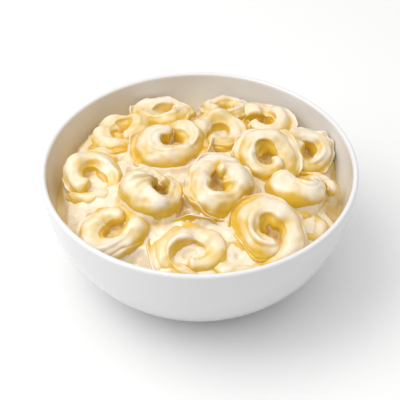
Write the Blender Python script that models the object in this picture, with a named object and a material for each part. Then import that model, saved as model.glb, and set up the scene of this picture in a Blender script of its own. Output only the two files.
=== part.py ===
"""A bowl of ring tortellini in cream sauce, at its real size, in metres with +Z up.

The origin is on the surface that the bowl stands on, below the middle of the bowl.
The nodes are the bowl, the bed of sauce with the pasta buried in it, and each tortellino
that lies on top. A tortellino is a filled tube of dough with a thin sealed hem along its
outer side, wound once round a finger so that its two ends lap.
"""

from typing import NamedTuple

import bmesh
import bpy
import numpy as np
from mathutils import Matrix, Vector

MM = 0.001
GAP = 0.30                # clearance between neighbouring pieces, in mm

# The bowl, in mm.
RIM_RADIUS = 80.0
BOWL_HEIGHT = 65.0
FOOT_RADIUS = 32.0
WALL = 3.0
FLOOR = 4.5               # thickness of the bottom, inside the foot ring
FOOT_RING_WIDTH = 5.0
FOOT_RECESS = 1.5
BOWL_SIDES = 40
WALL_STEPS = 7            # heights up the inner wall, the same for the bowl and for the sauce

# The bed of sauce, in mm.
SAUCE_AT_WALL = 43.0      # height of the sauce where it meets the bowl
BED_RISE = 12.0           # how much higher the bed is in the middle
BED_RINGS = 6

# One tortellino of ordinary size, in mm and degrees.
RING_RADIUS = 10.4        # from the axis to the middle of the tube
TUBE_ACROSS = 6.0         # half the tube's width, seen from above
TUBE_HIGH = 6.9           # half the tube's height
END_THINNING = 0.54       # share of its thickness that the tube loses towards its ends
LAP = 30.0                # how far the two ends overlap round the ring
LAP_OUT = 3.4             # how far each end moves in or out to pass the other
LAP_UP = 3.4              # how far each end moves up or down to pass the other
HEM_SPAN = 0.82           # share of the tube's length, each way from its crown, that has a hem

# Angles round the tube's cross-section, from the hem's direction, in degrees.
TUBE_CORNERS = (-11.0, 11.0, 34.0, 90.0, 145.0, 215.0, 270.0, 326.0)
TUBE_STATIONS = 15        # cross-sections along the tube, the two end points included


class Tortellino(NamedTuple):
    """Where one tortellino lies. Lengths are in mm and angles in degrees."""

    name: str
    x: float
    y: float
    z: float
    lean: float           # tilt of the ring's axis from upright
    towards: float        # direction that the axis leans to, 0 along +X and 90 along +Y
    join: float           # direction of the lapped ends, seen from above
    size: float = 1.0
    hem: float = 5.0      # width of the hem
    hem_angle: float = -30.0   # direction of the hem, below level if negative
    curl: float = 1.5     # how far the hem's edge turns up
    turn: int = 1         # 1 if the outer end comes round anticlockwise, -1 if clockwise


# From the top of the heap to the bottom: each piece is cut clear of those named before it.
TORTELLINI = (
    Tortellino("tortellino_centre", 10.5, -13.0, 59.5, 18, -65, 75, 0.98, 5.0, 8, 2.0, -1),
    Tortellino("tortellino_centre_left", -24.0, -20.0, 56.0, 24, 45, 20, 1.0, 6.5, 62, 0.0, 1),
    Tortellino("tortellino_middle_back", -15.5, 24.5, 59.0, 6, -90, 100, 1.0, 5.5, 5, 2.0, 1),
    Tortellino("tortellino_middle_right", 35.5, 8.5, 58.5, 15, -95, -45, 0.96, 5.0, 10, 2.0, -1),
    Tortellino("tortellino_front", -3.5, -52.0, 53.0, 12, -90, -75, 0.97, 5.0, 8, 2.0, 1),
    Tortellino("tortellino_front_right", 32.0, -42.0, 54.0, 20, -75, -85, 1.0, 5.0, 8, 2.0, -1),
    Tortellino("tortellino_front_left", -41.5, -36.5, 51.5, 15, -135, 65, 0.94, 4.5, 5, 2.0, 1),
    Tortellino("tortellino_left", -55.5, -1.0, 52.5, 14, -60, -125, 0.97, 5.0, 8, 2.0, -1),
    Tortellino("tortellino_back_left", -17.5, 51.5, 56.0, 6, 80, 25, 0.96, 4.5, 10, 2.0, -1),
    Tortellino("tortellino_back_right", 34.0, 43.0, 55.0, 6, -110, -135, 0.90, 4.5, 12, 2.0, 1),
    Tortellino("tortellino_middle_right_back", 9.5, 30.5, 56.0, 10, 0, -120, 0.98, 5.0, 8, 2.0, 1),
    Tortellino("tortellino_far_right", 55.0, 18.0, 53.0, 26, -45, 150, 0.82, 4.5, 0, 0.5, 1),
    Tortellino("tortellino_right", 53.0, -8.5, 54.0, 32, 105, 20, 1.0, 5.0, -10, 1.0, -1),
    Tortellino("tortellino_left_back", -40.5, 35.0, 52.5, 12, 135, -60, 0.97, 4.5, 8, 2.0, 1),
    Tortellino("tortellino_back", 12.5, 55.5, 53.5, 18, 90, -150, 0.82, 4.5, 5, 1.5, -1),
    Tortellino("tortellino_far_left", -52.5, 28.0, 49.0, 15, 170, 60, 0.78, 4.0, -10, 1.0, 1),
    Tortellino("tortellino_low_right", 49.5, -28.5, 50.0, 12, -30, 60, 0.80, 4.0, -10, 1.0, 1),
    Tortellino("tortellino_low_left", -53.5, -20.0, 46.5, 10, 200, 90, 0.78, 4.0, -10, 1.0, -1),
    Tortellino("tortellino_low_front", 18.5, -54.0, 48.5, 12, -60, 20, 0.82, 4.5, 0, 1.0, 1),
    Tortellino("tortellino_low_middle", 9.0, -31.0, 48.0, 8, 60, -30, 0.88, 4.5, -10, 1.0, -1),
)


def clear_scene():
    for thing in list(bpy.data.objects):
        bpy.data.objects.remove(thing)


def food_material(name, colour, roughness, specular=0.5):
    """A Principled BSDF with a plain colour, given as linear red, green and blue."""
    material = bpy.data.materials.new(name)
    material.use_nodes = True
    shader = material.node_tree.nodes["Principled BSDF"]
    shader.inputs["Base Color"].default_value = (*colour, 1.0)
    shader.inputs["Roughness"].default_value = roughness
    shader.inputs["Metallic"].default_value = 0.0
    shader.inputs["Specular IOR Level"].default_value = specular
    return material


def add_object(name, points, faces, material=None, cutter=False):
    """An object with a mesh of these points, in mm, and faces."""
    mesh = bpy.data.meshes.new(name)
    mesh.from_pydata([tuple(p * MM) for p in np.asarray(points)], [], faces)
    mesh.validate()
    thing = bpy.data.objects.new(name, mesh)
    bpy.context.scene.collection.objects.link(thing)
    if material:
        mesh.materials.append(material)
    if cutter:
        thing.hide_render = True
        thing.display_type = "WIRE"
    return thing


def outer_radius(z):
    """The bowl's outer wall is a quarter of an ellipse, from the foot up to the rim."""
    share = np.clip(z / BOWL_HEIGHT, 0.0, 1.0)
    return FOOT_RADIUS + (RIM_RADIUS - FOOT_RADIUS) * np.sqrt(1.0 - (1.0 - share) ** 2)


def inner_radius(z):
    """The inner wall: the outer ellipse, drawn in by the wall at the rim and the floor at the base."""
    share = np.clip((z - FLOOR) / (BOWL_HEIGHT - FLOOR), 0.0, 1.0)
    inner_foot = FOOT_RADIUS - WALL - 1.0
    return inner_foot + (RIM_RADIUS - WALL - inner_foot) * np.sqrt(1.0 - (1.0 - share) ** 2)


def wall_heights(bottom, top, count):
    """Heights up the wall, closest together where the ellipse turns fastest, at its foot."""
    return bottom + (top - bottom) * (1.0 - np.cos(np.linspace(0.0, np.pi / 2, count)))


def inner_wall():
    """Radii and heights of the inner wall's corners, from the floor up, as the bowl has them."""
    heights = wall_heights(FLOOR, BOWL_HEIGHT - WALL / 2, WALL_STEPS)
    return inner_radius(heights), heights


def bowl_profile():
    """The bowl's section as (radius, height), from the centre below, up outside and down inside."""
    ring_inside = FOOT_RADIUS - FOOT_RING_WIDTH
    below = [(0.0, FOOT_RECESS), (ring_inside - FOOT_RECESS, FOOT_RECESS), (ring_inside, 0.0)]
    rim_round = WALL / 2
    outside_z = wall_heights(0.0, BOWL_HEIGHT - rim_round, 8)
    outside = [(outer_radius(z), z) for z in outside_z]
    middle = RIM_RADIUS - rim_round
    rim = [
        (middle + rim_round * np.cos(a), BOWL_HEIGHT - rim_round + rim_round * np.sin(a))
        for a in np.radians((45.0, 90.0, 135.0))
    ]
    inside = list(zip(*inner_wall()))[::-1]
    return below + outside + rim + inside + [(0.0, FLOOR)]


def lathe(name, profile, material):
    """Turns a profile about the Z axis by a bmesh spin, and welds the seam and the poles."""
    mesh = bpy.data.meshes.new(name)
    shape = bmesh.new()
    corners = [shape.verts.new((r * MM, 0.0, z * MM)) for r, z in profile]
    edges = [shape.edges.new(pair) for pair in zip(corners, corners[1:])]
    bmesh.ops.spin(
        shape, geom=corners + edges, axis=(0, 0, 1), cent=(0, 0, 0), angle=2 * np.pi,
        steps=BOWL_SIDES, use_merge=False,
    )
    bmesh.ops.remove_doubles(shape, verts=shape.verts, dist=1e-6)
    bmesh.ops.recalc_face_normals(shape, faces=shape.faces)
    shape.to_mesh(mesh)
    shape.free()
    mesh.shade_smooth()
    mesh.set_sharp_from_angle(angle=np.radians(40.0))
    mesh.materials.append(material)
    thing = bpy.data.objects.new(name, mesh)
    bpy.context.scene.collection.objects.link(thing)
    return thing


def bed_height(radius, angle):
    """Height of the bed: a low dome, with gentle swells where pasta lies under it."""
    dome = BED_RISE * (1.0 - (radius / inner_radius(SAUCE_AT_WALL)) ** 2)
    swell = 0.9 * np.sin(5 * angle + 0.6) * np.sin(np.pi * radius / 37.0)
    fade = np.clip((inner_radius(SAUCE_AT_WALL) - radius) / 12.0, 0.0, 1.0)
    return SAUCE_AT_WALL + dome + swell * fade


def sauce_bed(material):
    """The body of sauce: it fills the bowl from its floor up to the domed top, a gap off the wall."""
    angles = np.linspace(0.0, 2 * np.pi, BOWL_SIDES, endpoint=False)
    wall_radius, wall_z = inner_wall()
    top_radius = np.interp(SAUCE_AT_WALL, wall_z, wall_radius) - GAP
    rings = []
    for share in np.linspace(0.0, 1.0, BED_RINGS + 1)[1:]:
        radius = np.full(BOWL_SIDES, share * top_radius)
        rings.append((radius, bed_height(radius, angles)))
    for radius, z in zip(wall_radius[::-1], wall_z[::-1]):
        if z < SAUCE_AT_WALL - 1.0:
            rings.append((np.full(BOWL_SIDES, radius - GAP), np.full(BOWL_SIDES, z + GAP)))
    points = [(0.0, 0.0, float(bed_height(0.0, 0.0)))]
    for radius, height in rings:
        points.extend(zip(radius * np.cos(angles), radius * np.sin(angles), height))
    points.append((0.0, 0.0, FLOOR + GAP))
    faces = grid_faces(len(rings), BOWL_SIDES)
    return add_object("sauce_bed", np.array(points), outward(points, faces), material)


def grid_faces(rows, columns):
    """Faces of a closed skin: one pole point, rows of columns points each, and the other pole."""
    faces = []
    last = rows * columns + 1
    for k in range(columns):
        after = (k + 1) % columns
        faces.append((0, 1 + after, 1 + k))
        for row in range(rows - 1):
            low, high = 1 + row * columns, 1 + (row + 1) * columns
            faces.append((low + k, low + after, high + after))
            faces.append((low + k, high + after, high + k))
        base = 1 + (rows - 1) * columns
        faces.append((last, base + k, base + after))
    return faces


def outward(points, faces):
    """The faces, turned round if they point into the shape: its signed volume says which."""
    p = np.asarray(points, float)
    volume = 0.0
    for face in faces:
        for b, c in zip(face[1:], face[2:]):
            volume += np.dot(p[face[0]], np.cross(p[b], p[c]))
    return faces if volume > 0 else [face[::-1] for face in faces]


def tube_path(s):
    """Middle line of the tube at s, from -1 at the inner end, by 0 at the crown, to 1 at the outer."""
    turn = s * np.radians(180.0 + LAP / 2)
    pass_by = np.sign(s) * s ** 2
    radius = RING_RADIUS * (1.0 + 0.05 * np.cos(2 * turn)) + LAP_OUT * pass_by
    height = LAP_UP * pass_by
    return turn, radius, height


def tube_thickness(s):
    """Share of the tube's full thickness: it thins towards the ends, which are round."""
    thin = 1.0 - END_THINNING * np.abs(s) ** 3
    into_end = np.clip((np.abs(s) - 0.93) / 0.07, 0.0, 1.0)
    return thin * np.sqrt(1.0 - into_end ** 2)


def tube_section(piece, s, corners, clearance):
    """Points round the tube in its own plane, as (outward, up): an oval with the hem drawn out of it.

    The corners nearest to the hem's direction move out along it by the hem's width, and its edge
    then curls up, so the hem stays thin and leaves the tube at a crease.
    """
    theta = np.radians(corners)
    lean = np.radians(piece.hem_angle)
    thick = tube_thickness(s)
    across = TUBE_ACROSS * thick + clearance
    high = TUBE_HIGH * thick + clearance
    oval_out = across * np.cos(theta + lean)
    oval_up = high * np.sin(theta + lean)
    on_hem = np.abs(theta) < np.radians(20.0)
    share = np.clip(1.0 - (abs(s) / HEM_SPAN) ** 4, 0.0, 1.0)
    length = (piece.hem + clearance) * share * on_hem
    out = oval_out + length * np.cos(lean)
    up = oval_up + length * np.sin(lean) + piece.curl * share * on_hem
    return out, up


def tortellino_points(piece, clearance=0.0):
    """All points of one tortellino, in mm, as a pole, rows round the tube, and a pole."""
    corners = np.array(TUBE_CORNERS)
    stations = np.sin(np.linspace(-np.pi / 2, np.pi / 2, TUBE_STATIONS) * 0.999)
    stations = 0.55 * stations + 0.45 * np.linspace(-1.0, 1.0, TUBE_STATIONS)
    grown = clearance / piece.size
    points = []
    for index, s in enumerate(stations):
        turn, radius, height = tube_path(s)
        ends = index in (0, TUBE_STATIONS - 1)
        out, up = (np.zeros(1), np.zeros(1)) if ends else tube_section(piece, s, corners, grown)
        if ends:
            turn += np.sign(s) * grown / RING_RADIUS
        rho = radius + out
        points.extend(zip(rho * np.cos(turn), piece.turn * rho * np.sin(turn), height + up))
    return np.array(points)


def placement(piece):
    """Puts the ring in the bowl: sized, spun so its join faces the right way, leant and moved."""
    spin = Matrix.Rotation(np.radians(piece.join + 180.0), 4, "Z")
    axis = Vector((-np.sin(np.radians(piece.towards)), np.cos(np.radians(piece.towards)), 0.0))
    lean = Matrix.Rotation(np.radians(piece.lean), 4, axis)
    move = Matrix.Translation(Vector((piece.x, piece.y, piece.z)))
    return np.array(move @ lean @ spin @ Matrix.Scale(piece.size, 4))


def tortellino(piece, material, clearance=0.0):
    """One tortellino, or its cutter if it is grown by a clearance."""
    local = tortellino_points(piece, clearance)
    matrix = placement(piece)
    points = local @ matrix[:3, :3].T + matrix[:3, 3]
    faces = grid_faces(TUBE_STATIONS - 2, len(TUBE_CORNERS))
    cutter = clearance > 0.0
    name = piece.name + "_cutter" if cutter else piece.name
    thing = add_object(name, points, outward(points, faces), material, cutter)
    if not cutter:
        thing.data.shade_smooth()
    return thing


def box_of(thing):
    corners = np.array([v.co for v in thing.data.vertices])
    return corners.min(axis=0), corners.max(axis=0)


def boxes_meet(first, second):
    (low_a, high_a), (low_b, high_b) = box_of(first), box_of(second)
    return bool(np.all(low_a < high_b) and np.all(low_b < high_a))


def body_volume(body):
    """Volume enclosed by the faces of one connected body, from its set of vertices."""
    volume = 0.0
    for face in {face for vert in body for face in vert.link_faces}:
        corners = [vert.co for vert in face.verts]
        for b, c in zip(corners[1:], corners[2:]):
            volume += corners[0].dot(b.cross(c)) / 6.0
    return volume


def keep_main_body(mesh):
    """Drops the crumbs that a cut leaves apart from the largest body."""
    shape = bmesh.new()
    shape.from_mesh(mesh)
    bodies = []
    left = set(shape.verts)
    while left:
        body, edge = set(), [left.pop()]
        while edge:
            vert = edge.pop()
            body.add(vert)
            near = {e.other_vert(vert) for e in vert.link_edges} & left
            left -= near
            edge.extend(near)
        bodies.append(body)
    bodies.sort(key=body_volume, reverse=True)
    for crumb in bodies[1:]:
        bmesh.ops.delete(shape, geom=list(crumb), context="VERTS")
    bmesh.ops.triangulate(shape, faces=shape.faces)
    shape.to_mesh(mesh)
    shape.free()


def cut(thing, cutter):
    """Takes the cutter's space out of the piece with a Boolean, and keeps the main body."""
    modifier = thing.modifiers.new("clear_of_" + cutter.name, "BOOLEAN")
    modifier.operation = "DIFFERENCE"
    modifier.solver = "EXACT"
    modifier.object = cutter
    graph = bpy.context.evaluated_depsgraph_get()
    mesh = bpy.data.meshes.new_from_object(thing.evaluated_get(graph))
    thing.modifiers.clear()
    keep_main_body(mesh)
    thing.data = mesh


def main():
    clear_scene()
    porcelain = food_material("porcelain", (0.86, 0.86, 0.87), 0.25)
    sauce = food_material("cream_sauce", (0.88, 0.76, 0.52), 0.30)
    pasta = food_material("egg_pasta", (0.83, 0.60, 0.22), 0.38)

    lathe("bowl", bowl_profile(), porcelain)
    bed = sauce_bed(sauce)
    placed = []
    for piece in TORTELLINI:
        thing = tortellino(piece, pasta)
        for above in placed:
            if boxes_meet(thing, above):
                cut(thing, above)
        grown = tortellino(piece, None, GAP)
        placed.append(grown)
        cut(bed, grown)


main()
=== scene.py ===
# %% [markdown]
# # A bowl of tortellini in cream sauce
#
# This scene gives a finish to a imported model: a porcelain bowl, a bed of sauce and twenty ring
# tortellini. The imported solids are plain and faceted. Each one is replaced here by a fine surface
# that is worked out with numpy, and then the materials, the light and the camera are set.
#
# Food is hard to make look real for three reasons. Nothing on it is straight or repeated, so
# each piece needs shape of its own. Dough and cream let light in and out again, so their shadows
# glow. And sauce is a liquid: it runs off what is steep, gathers in between, and is even nowhere.

import bpy
import numpy as np
from mathutils import Matrix, Vector


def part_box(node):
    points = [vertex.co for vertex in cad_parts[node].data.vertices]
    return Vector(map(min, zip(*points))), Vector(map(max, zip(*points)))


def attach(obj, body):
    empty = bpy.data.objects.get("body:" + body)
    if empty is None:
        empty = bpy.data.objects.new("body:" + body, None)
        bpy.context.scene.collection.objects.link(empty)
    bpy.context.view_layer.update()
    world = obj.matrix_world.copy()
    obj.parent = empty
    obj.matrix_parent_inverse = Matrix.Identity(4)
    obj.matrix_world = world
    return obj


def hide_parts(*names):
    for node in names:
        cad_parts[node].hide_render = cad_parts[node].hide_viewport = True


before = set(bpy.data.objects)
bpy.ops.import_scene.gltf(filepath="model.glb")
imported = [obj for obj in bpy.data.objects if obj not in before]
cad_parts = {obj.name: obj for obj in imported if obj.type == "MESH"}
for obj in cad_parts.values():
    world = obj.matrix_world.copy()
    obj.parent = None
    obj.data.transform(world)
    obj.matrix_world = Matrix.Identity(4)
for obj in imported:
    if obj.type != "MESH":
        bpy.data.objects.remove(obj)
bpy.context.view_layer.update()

MM = 0.001

# %% [markdown]
# ## Closed skins
#
# Every piece in this scene is the same kind of surface: a grid with rows along the piece and
# columns round it, closed by a single point at each end. A bowl is such a skin, with its poles in
# the middle of its underside and of its floor. So is a tube of dough, with a pole at each tip. One
# function can build them all, so that they are all closed and all face outwards.


# %% Faces of a closed skin
def skin_faces(rows, columns):
    """Quads between the rows, which wrap round, and triangles from the outer rows to the two poles."""
    here = np.arange(columns)
    after = (here + 1) % columns
    low = 1 + np.arange(rows - 1)[:, None] * columns
    quads = np.stack([low + here, low + after, low + columns + after, low + columns + here], axis=-1)
    base = 1 + (rows - 1) * columns
    first = np.stack([np.zeros_like(here), 1 + after, 1 + here], axis=-1)
    last = np.stack([np.full_like(here, rows * columns + 1), base + here, base + after], axis=-1)
    return quads.reshape(-1, 4), np.concatenate([first, last])


def signed_volume(points, triangles):
    """Sum of the tetrahedra from the origin to each triangle: positive if the faces point outwards."""
    a, b, c = (points[triangles[:, k]] for k in range(3))
    return np.einsum("ij,ij->i", a, np.cross(b, c)).sum() / 6.0


quads, triangles = skin_faces(3, 8)
print("a skin of 3 rows and 8 columns:", len(quads), "quads and", len(triangles), "triangles")


# %% From a grid of points to an object
def closed_skin(name, first_pole, grid, last_pole, material, **attributes):
    """A smooth object from a grid of points in mm, shaped (rows, columns, 3), and its two poles.

    Each attribute is an array of one value for each grid point, such as how thick the sauce is.
    """
    rows, columns = grid.shape[:2]
    points = np.concatenate([[first_pole], grid.reshape(-1, 3), [last_pole]]) * MM
    quads, triangles = skin_faces(rows, columns)
    halves = np.concatenate([quads[:, [0, 1, 2]], quads[:, [0, 2, 3]], triangles])
    if signed_volume(points, halves) < 0:
        quads, triangles = quads[:, ::-1], triangles[:, ::-1]
    mesh = bpy.data.meshes.new(name)
    mesh.vertices.add(len(points))
    mesh.vertices.foreach_set("co", points.ravel())
    corners = np.concatenate([quads.ravel(), triangles.ravel()])
    sizes = np.concatenate([np.full(len(quads), 4), np.full(len(triangles), 3)])
    mesh.loops.add(len(corners))
    mesh.loops.foreach_set("vertex_index", corners)
    mesh.polygons.add(len(sizes))
    mesh.polygons.foreach_set("loop_start", np.concatenate([[0], np.cumsum(sizes)[:-1]]))
    mesh.update(calc_edges=True)
    mesh.validate()
    mesh.shade_smooth()
    for key, values in attributes.items():
        ends = [values[0].mean()], values.ravel(), [values[-1].mean()]
        mesh.attributes.new(key, "FLOAT", "POINT").data.foreach_set("value", np.concatenate(ends))
    mesh.materials.append(material)
    thing = bpy.data.objects.new(name, mesh)
    bpy.context.scene.collection.objects.link(thing)
    return thing


# %% [markdown]
# ## Unevenness
#
# Nothing that is cooked is even, so most shapes here have lumps added. The lumps have to be smooth,
# the same on each run, and of a known size in mm. A sum of a few dozen cosine waves, which run in
# random directions drawn from a fixed seed, is all three, and numpy works it out for all the points
# at once.


# %% Soft noise
def soft_noise(points, size, seed, waves=24):
    """Soft lumps about `size` mm across: the sum of cosine waves that run in seeded directions.

    Its values lie mostly between -1 and 1.
    """
    draw = np.random.default_rng(seed)
    along = draw.normal(size=(waves, points.shape[-1]))
    along /= np.linalg.norm(along, axis=1, keepdims=True)
    along *= 2 * np.pi / size * draw.uniform(0.6, 1.3, (waves, 1))
    phase = draw.uniform(0.0, 2 * np.pi, waves)
    return np.cos(points @ along.T + phase).sum(axis=-1) * np.sqrt(1.0 / waves)


def smooth_step(values, low, high):
    """0 below low, 1 above high, and a soft S between them."""
    share = np.clip((values - low) / (high - low), 0.0, 1.0)
    return share * share * (3.0 - 2.0 * share)


line = soft_noise(np.linspace(0.0, 100.0, 500)[:, None] * (1.0, 0.0, 0.0), 10.0, 1)
print(f"soft noise along 100 mm: from {line.min():.2f} to {line.max():.2f}, {line.std():.2f} typically")

# %% [markdown]
# ## Materials
#
# A material starts from what the real thing is. Colours are given as sRGB hex values, as a paint
# program shows them, but Blender's sockets want linear light, so one function converts them. One
# more function adds a node with its settings and its links.


# %% Material helpers
def linear(hex_colour):
    """Linear red, green, blue and alpha of an sRGB colour such as "#f6e7c4"."""
    srgb = np.array([int(hex_colour[k:k + 2], 16) for k in (1, 3, 5)]) / 255.0
    light = np.where(srgb <= 0.04045, srgb / 12.92, ((srgb + 0.055) / 1.055) ** 2.4)
    return (*light.tolist(), 1.0)


def add_node(tree, kind, inputs=None, **settings):
    """Adds a node. Each input is a value, or another node's output socket to link to."""
    node = tree.nodes.new(kind)
    for key, value in settings.items():
        setattr(node, key, value)
    for key, value in (inputs or {}).items():
        if isinstance(value, bpy.types.NodeSocket):
            tree.links.new(value, node.inputs[key])
        else:
            node.inputs[key].default_value = value
    return node


def new_material(name):
    """A material with only an output and a Principled BSDF; returns it, its tree and the shader."""
    material = bpy.data.materials.new(name)
    material.use_nodes = True
    tree = material.node_tree
    return material, tree, tree.nodes["Principled BSDF"]


print("the linear value of #808080:", round(linear("#808080")[0], 3))


# %% Patterns and blends
def noise_at(tree, size_mm, detail=2.0, roughness=0.5):
    """A noise on Object coordinates whose lumps are about size_mm across."""
    place = add_node(tree, "ShaderNodeTexCoord")
    settings = {"Vector": place.outputs["Object"], "Scale": 0.5 / (size_mm * MM)}
    noise = add_node(tree, "ShaderNodeTexNoise", {**settings, "Detail": detail, "Roughness": roughness})
    return noise.outputs["Fac"]


def blend_colours(tree, share, first, second):
    """The first colour where share is 0, and the second where it is 1."""
    mix = add_node(tree, "ShaderNodeMix", {0: share, 6: first, 7: second}, data_type="RGBA")
    return mix.outputs[2]


def rescale(tree, value, low, high, to_low, to_high):
    """Maps the range from low to high onto the range from to_low to to_high, with soft ends."""
    inputs = {0: value, 1: low, 2: high, 3: to_low, 4: to_high}
    node = add_node(tree, "ShaderNodeMapRange", inputs, interpolation_type="SMOOTHSTEP")
    return node.outputs[0]


# %% [markdown]
# ### Glazed porcelain
#
# Porcelain is fired clay under a thin coat of clear glass. The clay gives a neutral white, and the
# glass gives sharp, weak reflections over it. The glaze is never quite flat: it pooled and sagged a
# little in the kiln, so a very shallow bump a few centimetres long bends the reflections.
#
# A warm yellow tint is painted on one side of the inner wall. It is painted bounce light: the glow
# that the gold pasta throws onto the shaded porcelain there. It is only a colour, and an attribute
# on the bowl's mesh says how strong it is.


# %% Porcelain
def glazed_porcelain():
    """Fired white clay under clear glaze, tinted warm yellow where the mesh's attribute paints the light
    bounced from the pasta.
    """
    material, tree, shader = new_material("glazed_white_porcelain")
    waves = noise_at(tree, 22.0, detail=1.0)
    bump = add_node(tree, "ShaderNodeBump", {"Strength": 0.35, "Distance": 0.0004, "Height": waves})
    tint = blend_colours(tree, noise_at(tree, 40.0), linear("#e6e6e8"), linear("#e3e3e5"))
    # Painted light: a patchy warm yellow tint for the glow that the gold pasta bounces onto the shaded
    # inner wall.
    smear = add_node(tree, "ShaderNodeAttribute", attribute_name="smear").outputs["Fac"]
    streaks = rescale(tree, noise_at(tree, 14.0), 0.2, 0.8, 0.6, 1.0)
    bounce_share = add_node(tree, "ShaderNodeMath", {0: smear, 1: streaks}, operation="MULTIPLY").outputs[0]
    colour = blend_colours(tree, bounce_share, tint, linear("#f0d596"))
    tree.links.new(colour, shader.inputs["Base Color"])
    tree.links.new(bump.outputs["Normal"], shader.inputs["Normal"])
    shader.inputs["Roughness"].default_value = 0.16
    shader.inputs["IOR"].default_value = 1.5
    return material


porcelain = glazed_porcelain()
print("material:", porcelain.name)

# %% [markdown]
# ### Cooked egg pasta and cream sauce
#
# Egg dough is yellow all the way through. Boiled, it turns slightly clear, so light goes in, picks
# up yellow and comes out again: a fold that gets no direct light glows a deep gold. Subsurface
# scattering does that, with red light going furthest inside and blue least. Cream sauce is an
# emulsion of fat in water, which scatters far more, so it is nearly white and nearly opaque, with
# a wet gloss, which a coat over the base layer gives.
#
# The two are one material family here: an attribute on the mesh, `sauce`, says how much sauce lies
# on each point, and also carries painted light and shade, cream where light falls and gold where
# shade falls. It blends the colour from gold to cream, and makes the surface smoother where the film
# is thick. Two bumps lie over each other: the faint grain of flour in the dough, under a millimetre
# long, and the ripples of a wet film, about two millimetres long.


# %% How much sauce lies where
def film_on_dough(tree):
    """The mesh's own share of sauce and painted light, broken up at its edges by lumps about 4 mm across.
    """
    coat = add_node(tree, "ShaderNodeAttribute", attribute_name="sauce").outputs["Fac"]
    ragged = add_node(tree, "ShaderNodeMath", {0: noise_at(tree, 4.0), 1: 0.16, 2: -0.08},
                      operation="MULTIPLY_ADD")
    total = add_node(tree, "ShaderNodeMath", {0: coat, 1: ragged.outputs[0]}, operation="ADD")
    return rescale(tree, total.outputs[0], 0.02, 0.95, 0.0, 1.0)


# %% Dough and sauce as one family
def wet_food(name, gold, pale, cream, scatter, ripple, ripple_mm):
    """Dough, patchy from gold to pale, under a film of cream.

    Scatter is the share of light that goes in and comes out again. Ripple is how strong the film's
    bump is, and ripple_mm how long its ripples are.
    """
    material, tree, shader = new_material(name)
    share = film_on_dough(tree)
    dough = blend_colours(tree, noise_at(tree, 9.0), linear(gold), linear(pale))
    colour = blend_colours(tree, share, dough, linear(cream))
    tree.links.new(colour, shader.inputs["Base Color"])
    tree.links.new(rescale(tree, share, 0.0, 1.0, 0.36, 0.20), shader.inputs["Roughness"])
    grain = add_node(tree, "ShaderNodeBump", {
        "Strength": 0.30, "Distance": 0.00012, "Height": noise_at(tree, 0.9, detail=3.0)})
    film = add_node(tree, "ShaderNodeBump", {
        "Strength": ripple, "Distance": 0.0005, "Height": noise_at(tree, ripple_mm, detail=1.5),
        "Normal": grain.outputs["Normal"]})
    tree.links.new(film.outputs["Normal"], shader.inputs["Normal"])
    shader.inputs["Subsurface Weight"].default_value = scatter
    shader.inputs["Subsurface Radius"].default_value = (1.0, 0.80, 0.45)
    shader.inputs["Subsurface Scale"].default_value = 2.0 * MM
    shader.inputs["IOR"].default_value = 1.42
    shader.inputs["Coat Weight"].default_value = 0.45
    shader.inputs["Coat Roughness"].default_value = 0.16
    return material


egg_pasta = wet_food("cooked_egg_pasta_with_sauce", gold="#dab021", pale="#e3bd40", cream="#eee1cb",
                     scatter=0.18, ripple=0.55, ripple_mm=2.6)
# For the sauce, gold and pale are painted shade: the colour that it takes deep in hollows and along the
# wall.
cream_sauce = wet_food("thick_cream_sauce", gold="#e1bc60", pale="#e8cb86", cream="#eee0c7",
                       scatter=0.25, ripple=0.90, ripple_mm=1.8)
print("materials:", egg_pasta.name, "and", cream_sauce.name)

# %% [markdown]
# ## The bowl
#
# A bowl is thrown, or pressed in a turning mould, so it is exactly a profile turned about an axis.
# The profile goes from the middle of the underside, round the foot ring, up the outside as a
# quarter of an ellipse, over a half-round lip, down the inside and to the middle of the floor.
# Angles of equal steps along each quarter ellipse put the points closest where it turns fastest.

# %% Bowl sizes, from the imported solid
bowl_low, bowl_high = (np.array(corner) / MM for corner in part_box("bowl"))
RIM_RADIUS = (bowl_high[0] - bowl_low[0]) / 2
BOWL_HEIGHT = bowl_high[2]
FOOT_RADIUS = 0.4 * RIM_RADIUS
WALL = 3.0                # thickness of the wall, in mm
FLOOR = 4.5               # thickness of the bottom
FOOT_RING_WIDTH = 5.0
FOOT_RECESS = 1.5         # how far the underside lies above the table, inside the foot ring
INNER_FOOT = FOOT_RADIUS - WALL - 1.0   # where the flat floor inside meets the inner wall
LIP = WALL / 2            # radius of the half-round lip
print(f"bowl in mm: rim radius {RIM_RADIUS:.1f}, height {BOWL_HEIGHT:.1f}, foot radius {FOOT_RADIUS:.1f}")


# %% Parts of the profile
def inner_radius(z):
    """Radius of the inner wall at a height in mm: the foot plus a quarter ellipse up to the rim."""
    share = np.clip((z - FLOOR) / (BOWL_HEIGHT - FLOOR), 0.0, 1.0)
    return INNER_FOOT + (RIM_RADIUS - WALL - INNER_FOOT) * np.sqrt(1.0 - (1.0 - share) ** 2)


def quarter_ellipse(foot, rim, bottom, top, count):
    """Radii and heights of a wall that leaves its foot level and reaches its rim upright."""
    angle = np.linspace(0.0, np.pi / 2, count)
    return foot + (rim - foot) * np.sin(angle), bottom + (top - bottom) * (1.0 - np.cos(angle))


def arc(centre_r, centre_z, radius, start, end, count):
    """Radii and heights along an arc, with angles in degrees from the outward direction."""
    angle = np.radians(np.linspace(start, end, count))
    return centre_r + radius * np.cos(angle), centre_z + radius * np.sin(angle)


print(f"radius of the inner wall in mm: {inner_radius(20.0):.1f} when 20 mm up,",
      f"{inner_radius(BOWL_HEIGHT):.1f} at the rim")


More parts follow.
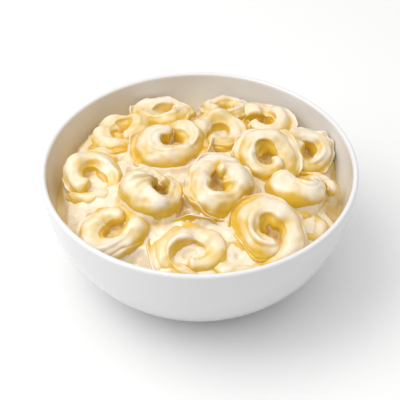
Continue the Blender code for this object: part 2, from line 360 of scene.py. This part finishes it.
# %% The whole profile
def bowl_profile():
    """The whole section, as rows of radius and height, without its two poles."""
    ring_inside = FOOT_RADIUS - FOOT_RING_WIDTH
    top = BOWL_HEIGHT - LIP
    under = np.linspace(2.0, ring_inside - 3.0, 12), np.full(12, FOOT_RECESS)
    into_ring = arc(ring_inside - 1.0, FOOT_RECESS - 1.5, 1.5, 110.0, 20.0, 6)
    foot = np.linspace(ring_inside + 0.9, FOOT_RADIUS - 0.9, 5), np.zeros(5)
    outside = quarter_ellipse(FOOT_RADIUS, RIM_RADIUS, 0.25, BOWL_HEIGHT, 56)
    keep = outside[1] < top - 0.2
    lip = arc(RIM_RADIUS - LIP, top, LIP, 0.0, 180.0, 14)
    inside = quarter_ellipse(INNER_FOOT, RIM_RADIUS - WALL, FLOOR, BOWL_HEIGHT, 48)
    below = inside[1] < top - 0.2
    floor = np.linspace(INNER_FOOT - 2.0, 2.0, 10), np.full(10, FLOOR)
    parts = [under, into_ring, foot, (outside[0][keep], outside[1][keep]), lip,
             (inside[0][below][::-1], inside[1][below][::-1]), floor]
    radius, height = (np.concatenate([part[k] for part in parts]) for k in range(2))
    return radius, np.maximum(height, 0.0)


print("rows in the bowl's profile:", len(bowl_profile()[0]))

# %% [markdown]
# ### Turn it, and paint its bounce light
#
# Turning the profile needs no more than a cosine and a sine for each column. The painted bounce
# light is worked out for the same points: it lies on the inner wall only, is strongest at one
# bearing, and fades with height above the sauce.


# %% Turn the bowl
def turned(radius, height, columns):
    """The grid of a profile turned about Z: x and y are the radius times cosine and sine."""
    angle = np.linspace(0.0, 2 * np.pi, columns, endpoint=False)
    rows = np.broadcast_to(height[:, None], (len(height), columns))
    return np.stack([radius[:, None] * np.cos(angle), radius[:, None] * np.sin(angle), rows], axis=-1)


BOUNCE_AT, BOUNCE_WIDE = 165.0, 62.0   # bearing where the painted bounce light is strongest, and its width, in degrees
BOUNCE_FROM, BOUNCE_FADES = 46.0, 16.0   # height where it starts to fade, and how far up to 1/e of it, in mm


def smear_left(grid):
    """Share of painted bounce light from the pasta on the inner wall: most on one side, less further up.
    """
    bearing = np.degrees(np.arctan2(grid[..., 1], grid[..., 0])) % 360.0
    side = np.exp(-((bearing - BOUNCE_AT) / BOUNCE_WIDE) ** 2)
    inside = np.hypot(grid[..., 0], grid[..., 1]) < inner_radius(grid[..., 2]) + 0.4
    return 0.75 * side * inside * np.exp(-np.maximum(grid[..., 2] - BOUNCE_FROM, 0.0) / BOUNCE_FADES)


bowl_grid = turned(*bowl_profile(), columns=240)
# The bowl's mesh carries how strong the painted bounce light is at each point.
bowl = closed_skin("porcelain_bowl", (0, 0, FOOT_RECESS), bowl_grid, (0, 0, FLOOR), porcelain,
                   smear=smear_left(bowl_grid))
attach(bowl, "root")
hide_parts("bowl")
print("bowl faces:", len(bowl.data.polygons))

# %% [markdown]
# ## One tortellino
#
# A tortellino starts as a small sheet of dough with filling on it. The sheet is folded over and its
# edges are pressed together, which gives a fat tube with a thin sealed hem along one side. The
# tube is then wound once round a finger and its two ends are pinched, one over the other.
#
# So its surface is a tube along a ring. The ring is slightly oval, because it rests on others. The
# cross-section is an oval too, and everything else on it is added to the oval's polar radius:
#
# - The hem: a narrow flat-topped edge on a broad soft swelling, which is the double layer of dough.
#   Its width ruffles along the ring, and its edge may bend up like a collar.
# - A crease on each side of the hem, where the dough was pressed to the filling.
# - A lip: the low ridge that the cut edge of the sheet leaves on top.
# - A few folds, where the dough was stretched and has slackened again.
# - On two of the pieces a hood: a wide flap of dough that has flopped over one side.
#
# The columns are crowded together where the hem is, because that is where the section turns fastest.

# %% The makings of a ring
RING_RADIUS = 10.9        # from the ring's axis to the middle of the tube, in mm
TUBE_ACROSS = 6.6         # half the tube's width
TUBE_HIGH = 7.2           # half its height
END_THINNING = 0.40       # share of its thickness that the tube loses towards its ends
LAP = 54.0                # degrees by which the two ends overlap
LAP_OUT = 3.6             # how far each end moves in or out to pass the other
LAP_UP = 2.2              # how far each end moves up or down to pass the other
HEM_SPAN = 0.86           # share of the tube's length, each way from its crown, that has a hem
HEM_THICK = 0.150         # half the hem's thickness, in radians seen from the tube's middle
LIP_AT = 2.05             # where the lip is, in radians round the tube from the hem
ROWS, COLUMNS = 168, 96


# %% Where the rows and the columns lie
def ring_stations():
    """Places along the tube, from -1 to 1: closer together near the two round ends."""
    even = np.linspace(-1.0, 1.0, ROWS + 2)[1:-1]
    return 0.55 * np.sin(even * np.pi / 2) + 0.45 * even


def section_angles():
    """Angles round the tube measured from the hem: crowded near 0, where the hem is."""
    even = np.linspace(-np.pi, np.pi, COLUMNS, endpoint=False)
    return even - 0.80 * np.sin(even)


rows_at, columns_at = ring_stations(), section_angles()
row_steps, column_steps = np.diff(rows_at), np.degrees(np.diff(columns_at))
print(f"rows are {row_steps.min():.4f} to {row_steps.max():.4f} of half the tube apart")
print(f"columns are {column_steps.min():.2f} to {column_steps.max():.2f} degrees apart")


# %% The plain tube
def tube_middle(s, long_turn):
    """The tube's middle line: angle round the ring, distance from its axis, and height.

    The ring is a slightly long oval, whose long side lies at the angle `long_turn` round it.
    """
    turn = s * np.radians(180.0 + LAP / 2)
    pass_by = np.sign(s) * s ** 2
    oval = 1.0 + 0.11 * np.cos(2 * (turn - long_turn))
    return turn, RING_RADIUS * oval + LAP_OUT * pass_by, -LAP_UP * pass_by


def tube_share(s):
    """Share of full thickness along the tube: it thins to both ends, and each end is round."""
    into_end = np.clip((np.abs(s) - 0.90) / 0.10, 0.0, 1.0)
    return (1.0 - END_THINNING * np.abs(s) ** 3) * np.sqrt(1.0 - into_end ** 2)


half_length = RING_RADIUS * np.radians(180.0 + LAP / 2)
print(f"the tube is about {2 * half_length:.0f} mm long and {2 * TUBE_ACROSS:.1f} mm wide")


# %% What stands out from the tube
def folds(s, from_hem, seed):
    """Low ridges of slack dough, in mm.

    Each is a bell curve across the tube, at an angle that drifts along it, times a bell curve along
    the tube, so that it fades at both ends.
    """
    draw = np.random.default_rng(seed)
    total = 0.0
    for start in (1.5, 2.7, 4.4):
        angle = start + draw.uniform(-0.4, 0.4) + draw.uniform(-1.1, 1.1) * s
        apart = (from_hem - angle + np.pi) % (2 * np.pi) - np.pi
        centre, length = draw.uniform(-0.7, 0.7), draw.uniform(0.25, 0.55)
        height = draw.uniform(1.0, 2.0)
        total = total + height * np.exp(-(apart / 0.17) ** 2 - ((s - centre) / length) ** 2)
    return total


def raised(s, from_hem, shape, circle, seed):
    """What stands out from the oval, in mm: the hem by itself, the hood by itself, and the rest.

    The hem is its width, times a ruffle along the ring, times 0.55 of a sharp edge and 0.45 of a
    broad swelling. It fades towards the ends of the tube, as the fourth power of the way along.
    """
    span = np.clip(1.0 - (np.abs(s) / HEM_SPAN) ** 4, 0.0, 1.0)
    ruffle = 0.85 + 0.65 * soft_noise(circle, 20.0, seed + 3) + 0.18 * soft_noise(circle, 4.0, seed + 4)
    hem = shape["hem"] * span * np.clip(ruffle, 0.0, 1.6)
    hem = hem * (0.55 * np.exp(-(from_hem / HEM_THICK) ** 4) + 0.45 * np.exp(-(from_hem / 0.50) ** 2))
    crease = 0.5 * span * np.exp(-((np.abs(from_hem) - 0.45) / 0.20) ** 2)
    lip = 0.8 * np.exp(-((from_hem - LIP_AT - 0.25 * np.sin(3.0 * s + seed)) / 0.11) ** 2)
    rest = tube_share(s) * (folds(s, from_hem, seed + 5) + lip * (1.0 - s ** 2)) - crease
    beyond = np.where(from_hem < 0.0, from_hem / 0.75, from_hem / 0.10)
    hood = shape["hood"] * np.exp(-((s - shape["flap_at"]) / 0.36) ** 2 - beyond ** 2)
    return hem, hood, rest


# %% The points of a ring
def ring_points(shape, s, from_hem, seed):
    """Points of one ring in its own frame, from its shape words and seeded lumps.

    The section's polar radius is the oval's, a b / sqrt((b cos)^2 + (a sin)^2), plus what is raised.
    The angle of a point that stands on the hem or the hood is turned a little further, so they bend.
    """
    long_turn = shape["turn"] * np.radians(shape["long"] - shape["join"] - 180.0)
    turn, radius, height = tube_middle(s, long_turn)
    circle = np.stack([np.cos(turn), np.sin(turn), s], axis=-1) * 10.0
    fat = tube_share(s) * (1.0 + shape["fat"] + 0.10 * soft_noise(circle, 15.0, seed))
    wobble = 0.22 * soft_noise(circle, 16.0, seed + 1) + 0.06 * soft_noise(circle, 5.0, seed + 2)
    angle = from_hem + np.radians(shape["hem_angle"]) + wobble * np.exp(-(from_hem / 1.0) ** 2)
    across, high = TUBE_ACROSS * fat, TUBE_HIGH * fat
    oval = across * high / np.sqrt((high * np.cos(angle)) ** 2 + (across * np.sin(angle)) ** 2)
    hem, hood, rest = raised(s, from_hem, shape, circle, seed)
    reach = oval + rest + hem + tube_share(s) * hood
    bend = shape["curl"] * (hem / np.maximum(shape["hem"], 0.1)) ** 2 + 0.05 * hood
    out, up = reach * np.cos(angle + bend), reach * np.sin(angle + bend)
    rho = radius + out
    return np.stack([rho * np.cos(turn), shape["turn"] * rho * np.sin(turn), height + up], axis=-1)


# %% Lumps of the filling
def grid_normals(grid):
    """Unit normals, outwards, of a grid that wraps round in its columns: the edges' cross product."""
    along = np.gradient(grid, axis=0)
    around = np.roll(grid, -1, axis=1) - np.roll(grid, 1, axis=1)
    normal = np.cross(around, along)
    normal /= np.maximum(np.linalg.norm(normal, axis=-1, keepdims=True), 1e-9)
    return normal


def dented(points, normals, from_hem, seed):
    """Moves each point along its normal by soft lumps of the filling. The thin hem gets none."""
    off_hem = 1.0 - np.exp(-(from_hem / 0.30) ** 4)
    lumps = 0.60 * soft_noise(points, 12.0, seed + 6) + 0.12 * soft_noise(points, 5.0, seed + 7)
    return points + normals * (off_hem * lumps)[..., None]


# %% [markdown]
# ## Twenty of them, each where its solid is
#
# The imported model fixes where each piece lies. What a box can't say is kept here: how far the
# ring leans, which way, where its ends join, how wide its hem is and which way it turns. Every ring
# also has lumps of its own, from its own seed.
#
# A real heap presses each piece against the bowl, and dough gives way. Here any point that would
# come too near to the wall is drawn in to a small gap from it.


# %% The shape of each piece
def look(lean, towards, join, size, hem, hem_angle, curl, turn, long=90, fat=0.0, hood=0.0,
         flap_at=0.0):
    """One piece's shape.

    Bearings are in degrees anticlockwise from +X: the axis leans by `lean` degrees `towards` one,
    the two ends lie at `join`, and the oval is longest at `long`. Size 1 is an ordinary ring, and
    turn 1 has its outer end come round anticlockwise. The hem is `hem` mm wide, `hem_angle` degrees
    above level, and its edge bends by `curl` radians. `fat` is the share that the tube is thicker.
    The hood is `hood` mm high, at the place `flap_at` along the tube, from -1 to 1.
    """
    return dict(lean=lean, towards=towards, join=join, size=size, hem=hem, hem_angle=hem_angle, curl=curl,
                turn=turn, long=long, fat=fat, hood=hood, flap_at=flap_at)


LOOKS = {
    "tortellino_centre": look(18, -65, 75, 0.98, 2.4, 6, 0.15, -1, long=60),
    "tortellino_centre_left": look(6, 45, 50, 1.0, 0.8, 110, 0.0, 1, long=-50, fat=-0.12, hood=8.5,
                                   flap_at=-0.12),
    "tortellino_middle_back": look(6, -90, 100, 1.0, 3.6, -14, 0.30, 1, long=10, fat=0.03),
    "tortellino_middle_right": look(15, -95, -45, 0.96, 3.6, 8, 0.25, -1, long=100),
    "tortellino_front": look(12, -90, -75, 0.97, 3.8, 10, 0.20, 1, long=0),
    "tortellino_front_right": look(18, -120, -85, 1.0, 2.2, 6, 0.10, -1, long=110, fat=0.05),
    "tortellino_front_left": look(15, -135, 65, 0.94, 3.0, 5, 0.25, 1, long=50),
    "tortellino_left": look(14, -60, -125, 0.97, 3.2, 5, 0.25, -1, long=125, fat=0.05),
    "tortellino_back_left": look(6, 80, 25, 0.96, 3.4, 8, 0.25, -1, long=0),
    "tortellino_back_right": look(6, -110, -135, 0.90, 3.8, 10, 0.25, 1, long=-20),
    "tortellino_middle_right_back": look(10, 0, -120, 0.98, 3.2, 8, 0.25, 1, long=90),
    "tortellino_far_right": look(26, -45, 150, 0.82, 2.8, 5, 0.25, 1, long=60),
    "tortellino_right": look(24, 120, 20, 1.0, 0.8, 95, 0.0, -1, long=20, fat=-0.15, hood=7.5),
    "tortellino_left_back": look(12, 135, -60, 0.97, 1.4, 5, 0.10, 1, long=30),
    "tortellino_back": look(18, 90, -150, 0.82, 2.6, 5, 0.25, -1, long=0),
    "tortellino_far_left": look(15, 170, 60, 0.78, 2.6, 5, 0.25, 1, long=60),
    "tortellino_low_right": look(12, -30, 60, 0.80, 2.6, 5, 0.25, 1, long=0),
    "tortellino_low_left": look(10, 200, 90, 0.78, 2.6, 5, 0.25, -1, long=90),
    "tortellino_low_front": look(12, -60, 20, 0.82, 2.8, 5, 0.25, 1, long=0),
    "tortellino_low_middle": look(8, 60, -30, 0.88, 0.8, 5, 0.10, -1, long=30),
}
print("pieces:", len(LOOKS), " with a hood:", sum(shape["hood"] > 0 for shape in LOOKS.values()))


# %% Put a ring in its place
def turned_and_leant(points, shape):
    """Spins the ring so that its join faces the right way, then leans its axis, and scales it."""
    spin = Matrix.Rotation(np.radians(shape["join"] + 180.0), 3, "Z")
    across = Vector((-np.sin(np.radians(shape["towards"])), np.cos(np.radians(shape["towards"])), 0.0))
    lean = Matrix.Rotation(np.radians(shape["lean"]), 3, across)
    return points @ (np.array(lean @ spin).T * shape["size"])


def kept_in_bowl(points, gap=0.5):
    """Draws in, towards the bowl's axis, each point that would come nearer to the wall than the gap."""
    radius = np.hypot(points[..., 0], points[..., 1])
    share = np.minimum(1.0, (inner_radius(points[..., 2]) - gap) / np.maximum(radius, 1e-6))
    return points * np.stack([share, share, np.ones_like(share)], axis=-1)


def placed(points, node):
    """Brings the points to the node's box: centred on it in X and Y, and level with its top."""
    low, high = (np.array(corner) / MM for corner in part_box(node))
    mine_low, mine_high = points.reshape(-1, 3).min(axis=0), points.reshape(-1, 3).max(axis=0)
    shift = (low + high) / 2 - (mine_low + mine_high) / 2
    shift[2] = high[2] - mine_high[2]
    return kept_in_bowl(points + shift)


# %% Make the rings
stations, angles = np.meshgrid(rows_at, columns_at, indexing="ij")
ring_grids = {}
for number, (node, shape) in enumerate(LOOKS.items()):
    ring = turned_and_leant(ring_points(shape, stations, angles, 100 * number), shape)
    if signed_volume(ring.reshape(-1, 3), skin_faces(ROWS, COLUMNS)[0][:, :3] - 1) < 0:
        ring = ring[:, ::-1]
    ring = dented(ring, grid_normals(ring), angles, 100 * number)
    ring_grids[node] = placed(ring, node)
print("rings:", len(ring_grids), " points in each:", ROWS * COLUMNS)

# %% [markdown]
# ## The sauce
#
# A thick sauce settles. It fills the space between the pieces up to a level, creeps a little way up
# each side that it touches, and stays behind in every crease and hollow on top. Seen from above it
# is one surface with one height at each place, so it is worked out as a map of heights over the
# bowl: first a map of the pasta's top, then three layers of sauce, of which the highest wins.
#
# - The bed: a low dome that swells a little, with a rounded edge against each piece and the wall.
# - The film: the pasta's own top with its narrow hollows closed, just under the ridges.
# - The coats: places where much sauce was spooned on, so that it covers the ridges as well.
#
# The sauce isn't the same colour all over. Where it stands level with what is round it, it looks
# like cream. Deep in a hollow and along the wall it is painted golden: painted shade, where the heap
# and the rim shade it. The attribute `sauce` on its mesh says which.

# %% From points to a map
CELL = 0.5                # size of one square of the map, in mm
HALF_CELLS = 165
MAP_SIDE = 2 * HALF_CELLS + 1
DEEP = 0.0                # height of the map where no pasta lies


def between(grid):
    """The grid's points, those halfway along each edge and those in the middle of each quad."""
    after = np.roll(grid, -1, axis=1)
    edge = (grid + after) / 2
    return np.concatenate([part.reshape(-1, 3) for part in (
        grid, edge, (grid[1:] + grid[:-1]) / 2, (edge[1:] + edge[:-1]) / 2)])


def cells_of(x, y):
    """Column and row of the map for each place in mm, kept inside the map."""
    cells = [np.clip(np.rint(v / CELL).astype(int) + HALF_CELLS, 0, MAP_SIDE - 1) for v in (x, y)]
    return cells[0], cells[1]


def highest(points, heights):
    """Raises each cell of a map to the highest point that falls in it."""
    np.maximum.at(heights, cells_of(points[:, 0], points[:, 1]), points[:, 2])
    return heights


print("the map:", MAP_SIDE, "by", MAP_SIDE, "squares of", CELL, "mm")


# %% Widen, narrow and blur a map
def neighbours(heights, radius, pick):
    """The highest or lowest value within a radius in mm: the map shifted every way, and compared."""
    reach = int(round(radius / CELL))
    steps = range(-reach, reach + 1)
    result = heights
    for i in steps:
        for j in steps:
            if i * i + j * j <= reach * reach:
                result = pick(result, np.roll(heights, (i, j), axis=(0, 1)))
    return result


def blurred(heights, radius):
    """A Gaussian blur, made by multiplying the map's waves: short waves lose most."""
    wave = np.fft.fftfreq(MAP_SIDE, CELL) * 2 * np.pi
    keep = np.exp(-0.5 * radius ** 2 * (wave[:, None] ** 2 + wave[None, :] ** 2))
    return np.fft.ifft2(np.fft.fft2(heights) * keep).real


# %% The map of the pasta's top
pasta_top = np.full((MAP_SIDE, MAP_SIDE), DEEP)
for ring in ring_grids.values():
    highest(between(ring), pasta_top)
pasta_top = np.where(pasta_top > DEEP, pasta_top, neighbours(pasta_top, 0.5, np.maximum))
print("highest pasta, mm:", round(pasta_top.max(), 1), " share of the map covered:",
      round(float((pasta_top > DEEP).mean()), 2))

# %% The bed of sauce
SAUCE_AT_WALL = 42.5      # height of the bed at the wall before it creeps up, in mm
BED_RISE = 12.0           # how much higher it is in the middle
CREEP = 3.4               # how far the sauce climbs where it meets pasta
CROWD_RISE = 3.0          # how much higher it is among many pieces than where there are none
WALL_CREEP = 1.4          # how far it climbs at the wall
WALL_CREEP_WIDE = 1.6     # distance from the wall at which that has fallen to 1/e

axis = (np.arange(MAP_SIDE) - HALF_CELLS) * CELL
map_x, map_y = np.meshgrid(axis, axis, indexing="ij")
map_r = np.hypot(map_x, map_y)
places = np.stack([map_x, map_y], axis=-1)
wall_r = float(inner_radius(SAUCE_AT_WALL))

# The bed is a dome that climbs next to pasta, and lies higher where many pieces crowd together.
dome = SAUCE_AT_WALL + BED_RISE * (1.0 - np.minimum(map_r / wall_r, 1.0) ** 2)
stands_out = (pasta_top > dome + 0.5).astype(float)
near = blurred(stands_out, 2.0)
crowd = blurred(stands_out, 6.0)
bed = dome + CREEP * np.minimum(2.0 * near, 1.0) ** 2 + CROWD_RISE * (crowd - 0.5)
bed += 0.45 * soft_noise(places, 9.0, 11) + 0.18 * soft_noise(places, 4.0, 12)
bed += WALL_CREEP * np.exp(-(wall_r - np.minimum(map_r, wall_r)) / WALL_CREEP_WIDE)

in_bowl = bed[map_r < wall_r]
print("the bed is", round(in_bowl.min(), 1), "to", round(in_bowl.max(), 1), "mm high")

# %% The film and the coats
CREASE = 1.0              # creases up to twice this wide are filled with sauce, in mm
FILM_BELOW = 1.10         # how far the film stays under the ridges

closed = neighbours(neighbours(pasta_top, CREASE, np.maximum), CREASE, np.minimum)
inside_pasta = blurred(neighbours((pasta_top > dome + 2.0).astype(float), 1.5, np.minimum), 0.6)
coats = 0.8 * soft_noise(places, 17.0, 21) + 0.30 * soft_noise(places, 6.0, 22) - 0.85
film = blurred(closed, 0.7) - FILM_BELOW + np.clip(coats, -0.8, 0.9)
film = np.where(inside_pasta > 0.5, film, DEEP)
sauce_top = np.maximum(bed, film)
print("sauce from", round(sauce_top.min(), 1), "to", round(sauce_top.max(), 1), "mm high")


# %% Read the map at any place
def at_places(heights, x, y):
    """The map's height at any place, blended from the four cells round it."""
    u, v = x / CELL + HALF_CELLS, y / CELL + HALF_CELLS
    i, j = (np.clip(np.floor(w).astype(int), 0, MAP_SIDE - 2) for w in (u, v))
    a, b = u - i, v - j
    low = heights[i, j] * (1 - a) + heights[i + 1, j] * a
    high = heights[i, j + 1] * (1 - a) + heights[i + 1, j + 1] * a
    return low * (1 - b) + high * b


middle_height = at_places(sauce_top, np.zeros(1), np.zeros(1))[0]
print("the sauce in the middle is", round(middle_height, 1), "mm high")

# %% [markdown]
# ### The sauce as a closed skin
#
# A map is only a top. To make it a solid, the rows go from the middle out to the wall and then on
# down along the inside of the bowl to its floor, like the bowl's own profile the other way round.

# %% The sauce's skin
TOP_ROWS, SAUCE_COLUMNS, UNDER_ROWS = 148, 480, 12
OFF_WALL = 0.03           # the sauce stops just short of the porcelain, in mm
RIM_ROW = 0.9985          # one more row here, so that smooth shading keeps the sauce's edge crisp


def sauce_grid():
    """Rows from the middle of the top out to the wall, then down the wall to the floor."""
    angle = np.linspace(0.0, 2 * np.pi, SAUCE_COLUMNS, endpoint=False)
    even = np.linspace(0.0, 1.0, TOP_ROWS + 1)[1:]
    share = np.concatenate([even[:-1], [RIM_ROW, 1.0]])[:, None]
    edge = at_places(sauce_top, wall_r * np.cos(angle), wall_r * np.sin(angle))
    radius = share * (inner_radius(edge) - OFF_WALL)
    x, y = radius * np.cos(angle), radius * np.sin(angle)
    top = np.stack([x, y, at_places(sauce_top, x, y)], axis=-1)
    fall = np.linspace(0.0, np.pi / 2, UNDER_ROWS + 1)[1:, None]
    z = FLOOR + (edge - FLOOR) * (1.0 - np.sin(fall)) + OFF_WALL
    rho = inner_radius(z - OFF_WALL) - OFF_WALL
    under = np.stack([rho * np.cos(angle), rho * np.sin(angle), z], axis=-1)
    return np.concatenate([top, under])


# %% How thick the sauce is, and painted shade
local_top = blurred(np.maximum(pasta_top, bed), 4.0)   # the heap's height, without its single pieces


def thick_sauce_and_painted_shade(grid):
    """Share of cream colour: 1, less 0.8 deep below what is round it and 0.75 right at the wall, both
    painted shade.
    """
    below = at_places(local_top, grid[..., 0], grid[..., 1]) - grid[..., 2]
    from_wall = np.maximum(wall_r - np.hypot(grid[..., 0], grid[..., 1]), 0.0)
    # Painted shade: golder deep in hollows and right at the wall, where shade falls.
    cream_share = 1.0 - 0.8 * smooth_step(below, 1.0, 6.0) - 0.75 * np.exp(-from_wall / 5.0)
    return np.clip(cream_share, 0.0, 1.0)


# %% Make the sauce
grid = sauce_grid()
sauce = closed_skin("cream_sauce_bed", (0, 0, middle_height), grid, (0, 0, FLOOR + OFF_WALL), cream_sauce,
                    sauce=thick_sauce_and_painted_shade(grid))
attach(sauce, "root")
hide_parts("sauce_bed")
print("sauce faces:", len(sauce.data.polygons))

# %% [markdown]
# ## Sauce and painted light on the pasta
#
# What clings to a piece follows three rules. It stays where the surface faces up and runs off where
# the surface is steep. It was spooned over the heap, so it is thick on what stands out and thin
# down in the holes and between the pieces, where the gold of the dough shows. And it lies in lumps
# and streaks. The same share also holds painted light and shade: cream on tops that face up and
# stand out, as where light falls, and gold on steep sides and down in the holes, as where shade
# falls. The mesh is moved outwards by that thickness, and the attribute `sauce` tells the material
# where it lies.

# %% What clings to a piece
FILM_THICK = 0.5          # thickest film that clings to a piece, in mm


def clinging_and_painted_light(grid, normals, seed):
    """Share of sauce and painted light from 0 to 1: a soft step of 0.60 facing + 0.45 standing out +
    streaks.

    Facing is the normal's upward part. Standing out is the height above what is round it, in steps
    of 5 mm. The finer streaks are drawn out downwards, as drips are.
    """
    facing = normals[..., 2]
    stands = np.clip((grid[..., 2] - at_places(local_top, grid[..., 0], grid[..., 1])) / 5.0, -1.2, 1.0)
    drips = soft_noise(grid * (1.0, 1.0, 0.4), 4.0, seed + 6)
    streaks = 0.12 * soft_noise(grid, 12.0, seed + 5) + 0.05 * drips
    # Painted light and shade: cream where the surface faces up or stands out, gold on steep sides and down
    # in holes.
    return smooth_step(0.60 * facing + 0.45 * stands + streaks, -0.05, 1.15)


# %% Coat and make the pieces
for number, (node, ring) in enumerate(ring_grids.items()):
    normals = grid_normals(ring)
    share = clinging_and_painted_light(ring, normals, 100 * number)
    coated = ring + normals * (FILM_THICK * share)[..., None]
    piece = closed_skin(node.replace("tortellino", "pasta"), ring[0].mean(axis=0), coated,
                        ring[-1].mean(axis=0), egg_pasta, sauce=share)
    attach(piece, "root")
    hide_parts(node)
print("pasta faces:", len(ring_grids) * len(piece.data.polygons))

# %% [markdown]
# ## Floor, light and camera
#
# A plain pale floor and soft light, as in a small studio. The main light is a large soft box high up
# on the left, which models the rings and throws the bowl's shadow to the right. A second, lower one
# on the same side reaches under the rim and brightens that side of the bowl. The rest of the room is
# a pale dome, bright overhead and nearly dark at the horizon: a dome of one strength would light the
# bowl's steep sides as much as its inside, and flatten it.

# %% Floor
FLOOR_HALF = 6.0          # half the floor's side, in metres


def pale_floor():
    """A large sheet of matt white paper under the bowl."""
    material, tree, shader = new_material("matt_white_paper")
    shader.inputs["Base Color"].default_value = linear("#efefef")
    shader.inputs["Roughness"].default_value = 0.9
    shader.inputs["Specular IOR Level"].default_value = 0.1
    corners = [(-FLOOR_HALF, -FLOOR_HALF, 0), (FLOOR_HALF, -FLOOR_HALF, 0),
               (FLOOR_HALF, FLOOR_HALF, 0), (-FLOOR_HALF, FLOOR_HALF, 0)]
    mesh = bpy.data.meshes.new("floor")
    mesh.from_pydata(corners, [], [(0, 1, 2, 3)])
    mesh.materials.append(material)
    floor = bpy.data.objects.new("floor", mesh)
    bpy.context.scene.collection.objects.link(floor)
    return floor


pale_floor()
print("floor:", 2 * FLOOR_HALF, "m square")


# %% Soft boxes
def soft_box(name, direction, distance, side, power, colour="#ffffff"):
    """A square lamp that lies in a direction from the bowl and faces it: metres and watts."""
    lamp = bpy.data.lights.new(name, "AREA")
    lamp.shape, lamp.size, lamp.energy = "SQUARE", side, power
    lamp.color = linear(colour)[:3]
    thing = bpy.data.objects.new(name, lamp)
    towards = Vector(direction).normalized()
    thing.location = towards * distance + Vector((0.0, 0.0, BOWL_HEIGHT * MM / 2))
    thing.rotation_euler = towards.to_track_quat("Z", "Y").to_euler()
    bpy.context.scene.collection.objects.link(thing)
    return thing


soft_box("key_soft_box", (-0.65, 0.00, 1.30), distance=0.9, side=0.55, power=2.6, colour="#fffdf8")
soft_box("side_soft_box", (-1.0, -0.30, 0.75), distance=1.2, side=0.8, power=3.4)


# %% The dome
def pale_dome(zenith, horizon):
    """A sky whose strength goes smoothly from the horizon's to the zenith's as a view turns upwards."""
    world = bpy.data.worlds.new("pale_dome")
    world.use_nodes = True
    tree = world.node_tree
    direction = add_node(tree, "ShaderNodeTexCoord").outputs["Generated"]
    height = add_node(tree, "ShaderNodeSeparateXYZ", {0: direction}).outputs["Z"]
    strength = rescale(tree, height, 0.0, 1.0, horizon, zenith)
    tree.links.new(strength, tree.nodes["Background"].inputs["Strength"])
    tree.nodes["Background"].inputs["Color"].default_value = linear("#ffffff")
    return world


bpy.context.scene.world = pale_dome(zenith=1.20, horizon=0.05)
bpy.context.scene.view_settings.view_transform = "Standard"

# %% [markdown]
# ### The camera
#
# It stands in front of the bowl and looks down into it at about 42 degrees, through a lens longer
# than ordinary, from about half a metre: near enough for the far side to look smaller, and far enough
# for the rim to stay a clean ellipse.

# %% Camera
ELEVATION = np.radians(42.12)
DISTANCE = 0.4934         # from the camera to the point it looks at, in metres
LOOKS_AT = np.array([0.00031, 0.0, 0.03883])

lens = bpy.data.cameras.new("camera")
lens.lens, lens.sensor_width = 85.0, 36.0
camera = bpy.data.objects.new("camera", lens)
camera.location = LOOKS_AT + DISTANCE * np.array([0.0, -np.cos(ELEVATION), np.sin(ELEVATION)])
camera.rotation_euler = (np.pi / 2 - ELEVATION, 0.0, 0.0)
bpy.context.scene.collection.objects.link(camera)
bpy.context.scene.camera = camera
print("camera at, in m:", [round(v, 3) for v in camera.location])
